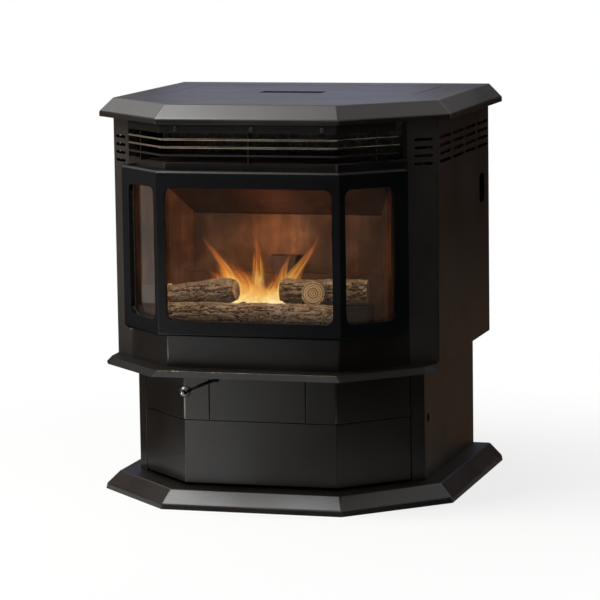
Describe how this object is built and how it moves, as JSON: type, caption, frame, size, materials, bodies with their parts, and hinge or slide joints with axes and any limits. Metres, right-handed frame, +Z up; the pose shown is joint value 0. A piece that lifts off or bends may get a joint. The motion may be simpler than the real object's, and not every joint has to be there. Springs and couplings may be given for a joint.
{
  "type": "pellet stove",
  "caption": "Free-standing pellet stove on a pedestal, with a bay-shaped glass door, slatted warm-air grille, hopper lid, hinged side and ash doors, feed screw, blowers and ceramic logs.",
  "frame": {"origin": "on the floor, under the middle of the stove's overall box", "axes": "+Z up, -Y towards the door, +X to the right as seen from the front"},
  "size_m": [0.72, 0.7671, 0.79],
  "materials": {
    "black_paint": "satin black high-temperature paint",
    "door_paint": "satin blue-black high-temperature paint",
    "bare_steel": "bare steel, browned by heat inside the firebox",
    "nickel_slats": "nickel plate",
    "galvanised_steel": "galvanised sheet",
    "cast_iron": "sooty grey castings",
    "ceramic_logs": "ceramic fibre, charred bark with pale sawn ends",
    "smoked_glass": "smoky ceramic glass",
    "rope_seal": "grey glass-fibre rope and felt",
    "phenolic_knob": "glossy black moulded ball"
  },
  "bodies": {
    "stove": {"base_plate": "black_paint", "pedestal_shell": "black_paint", "band_left": "black_paint", "band_right": "black_paint", "band_centre": "black_paint", "pedestal_crossrail": "black_paint", "ash_pan": "bare_steel", "cabinet_floor": "black_paint", "ash_shelf": "black_paint", "front_face": "black_paint", "pillar_right": "black_paint", "pillar_left": "black_paint", "rear_panel": "black_paint", "top_plate": "black_paint", "lid_hinge_left": "bare_steel", "lid_hinge_right": "bare_steel", "hopper": "galvanised_steel", "header": "black_paint", "slat_upper": "nickel_slats", "slat_middle": "nickel_slats", "slat_lower": "black_paint", "grille_rack": "black_paint", "firebox": "bare_steel", "firebox_liner": "bare_steel", "baffle": "bare_steel", "feed_chute": "bare_steel", "firepot": "cast_iron", "log_grate": "cast_iron", "log_left": "ceramic_logs", "log_right": "ceramic_logs", "log_front": "ceramic_logs", "firebox_stand": "bare_steel", "auger_tube": "bare_steel", "auger_motor": "black_paint", "exhaust_housing": "galvanised_steel", "exhaust_motor": "black_paint", "exhaust_duct": "galvanised_steel", "flue_collar": "bare_steel", "convection_housing": "galvanised_steel", "convection_motor": "black_paint", "air_intake": "bare_steel", "control_box": "black_paint"},
    "door": {"door_frame": "door_paint", "glass_front": "smoked_glass", "glass_left": "smoked_glass", "glass_right": "smoked_glass", "glass_gasket": "rope_seal", "glass_retainer": "bare_steel", "door_gasket": "rope_seal"},
    "ash_door": {"ash_door": "black_paint"},
    "side_panel_right": {"side_panel_right": "black_paint"},
    "side_panel_left": {"side_panel_left": "black_paint"},
    "hopper_lid": {"hopper_lid": "black_paint", "lid_pull_cup": "black_paint"},
    "cleanout": {"cleanout_rod": "bare_steel", "cleanout_knob": "phenolic_knob", "firepot_slide": "bare_steel"},
    "auger_screw": {"auger_screw": "bare_steel"},
    "exhaust_impeller": {"exhaust_impeller": "galvanised_steel"},
    "convection_wheel": {"convection_wheel": "galvanised_steel"}
  },
  "joints": [
    {"name": "door_hinge", "type": "hinge", "parent": "stove", "child": "door", "pos_m": [-0.27798, -0.17696, 0.341], "axis": [0, 0, -1], "range_deg": [0, 110]},
    {"name": "ash_door_hinge", "type": "hinge", "parent": "stove", "child": "ash_door", "pos_m": [-0.26689, -0.10725, 0.042], "axis": [0, 0, -1], "range_deg": [0, 100]},
    {"name": "side_panel_right_hinge", "type": "hinge", "parent": "stove", "child": "side_panel_right", "pos_m": [0.326, -0.096, 0.2773], "axis": [0, 0, -1], "range_deg": [0, 95]},
    {"name": "side_panel_left_hinge", "type": "hinge", "parent": "stove", "child": "side_panel_left", "pos_m": [-0.326, -0.096, 0.2773], "axis": [0, 0, 1], "range_deg": [0, 95]},
    {"name": "hopper_lid_hinge", "type": "hinge", "parent": "stove", "child": "hopper_lid", "pos_m": [0, 0.265, 0.787], "axis": [-1, 0, 0], "range_deg": [0, 100]},
    {"name": "cleanout_slide", "type": "slide", "parent": "stove", "child": "cleanout", "axis": [-0.1115, -0.9938, 0], "range_m": [0, 0.09]},
    {"name": "auger_spin", "type": "hinge", "parent": "stove", "child": "auger_screw", "pos_m": [0, -0.012, 0.454], "axis": [0, 0.9063, -0.4226], "continuous": true},
    {"name": "exhaust_spin", "type": "hinge", "parent": "stove", "child": "exhaust_impeller", "pos_m": [-0.15, 0.24, 0.36], "axis": [1, 0, 0], "continuous": true},
    {"name": "convection_spin", "type": "hinge", "parent": "stove", "child": "convection_wheel", "pos_m": [0.165, 0.15, 0.356], "axis": [1, 0, 0], "continuous": true}
  ]
}
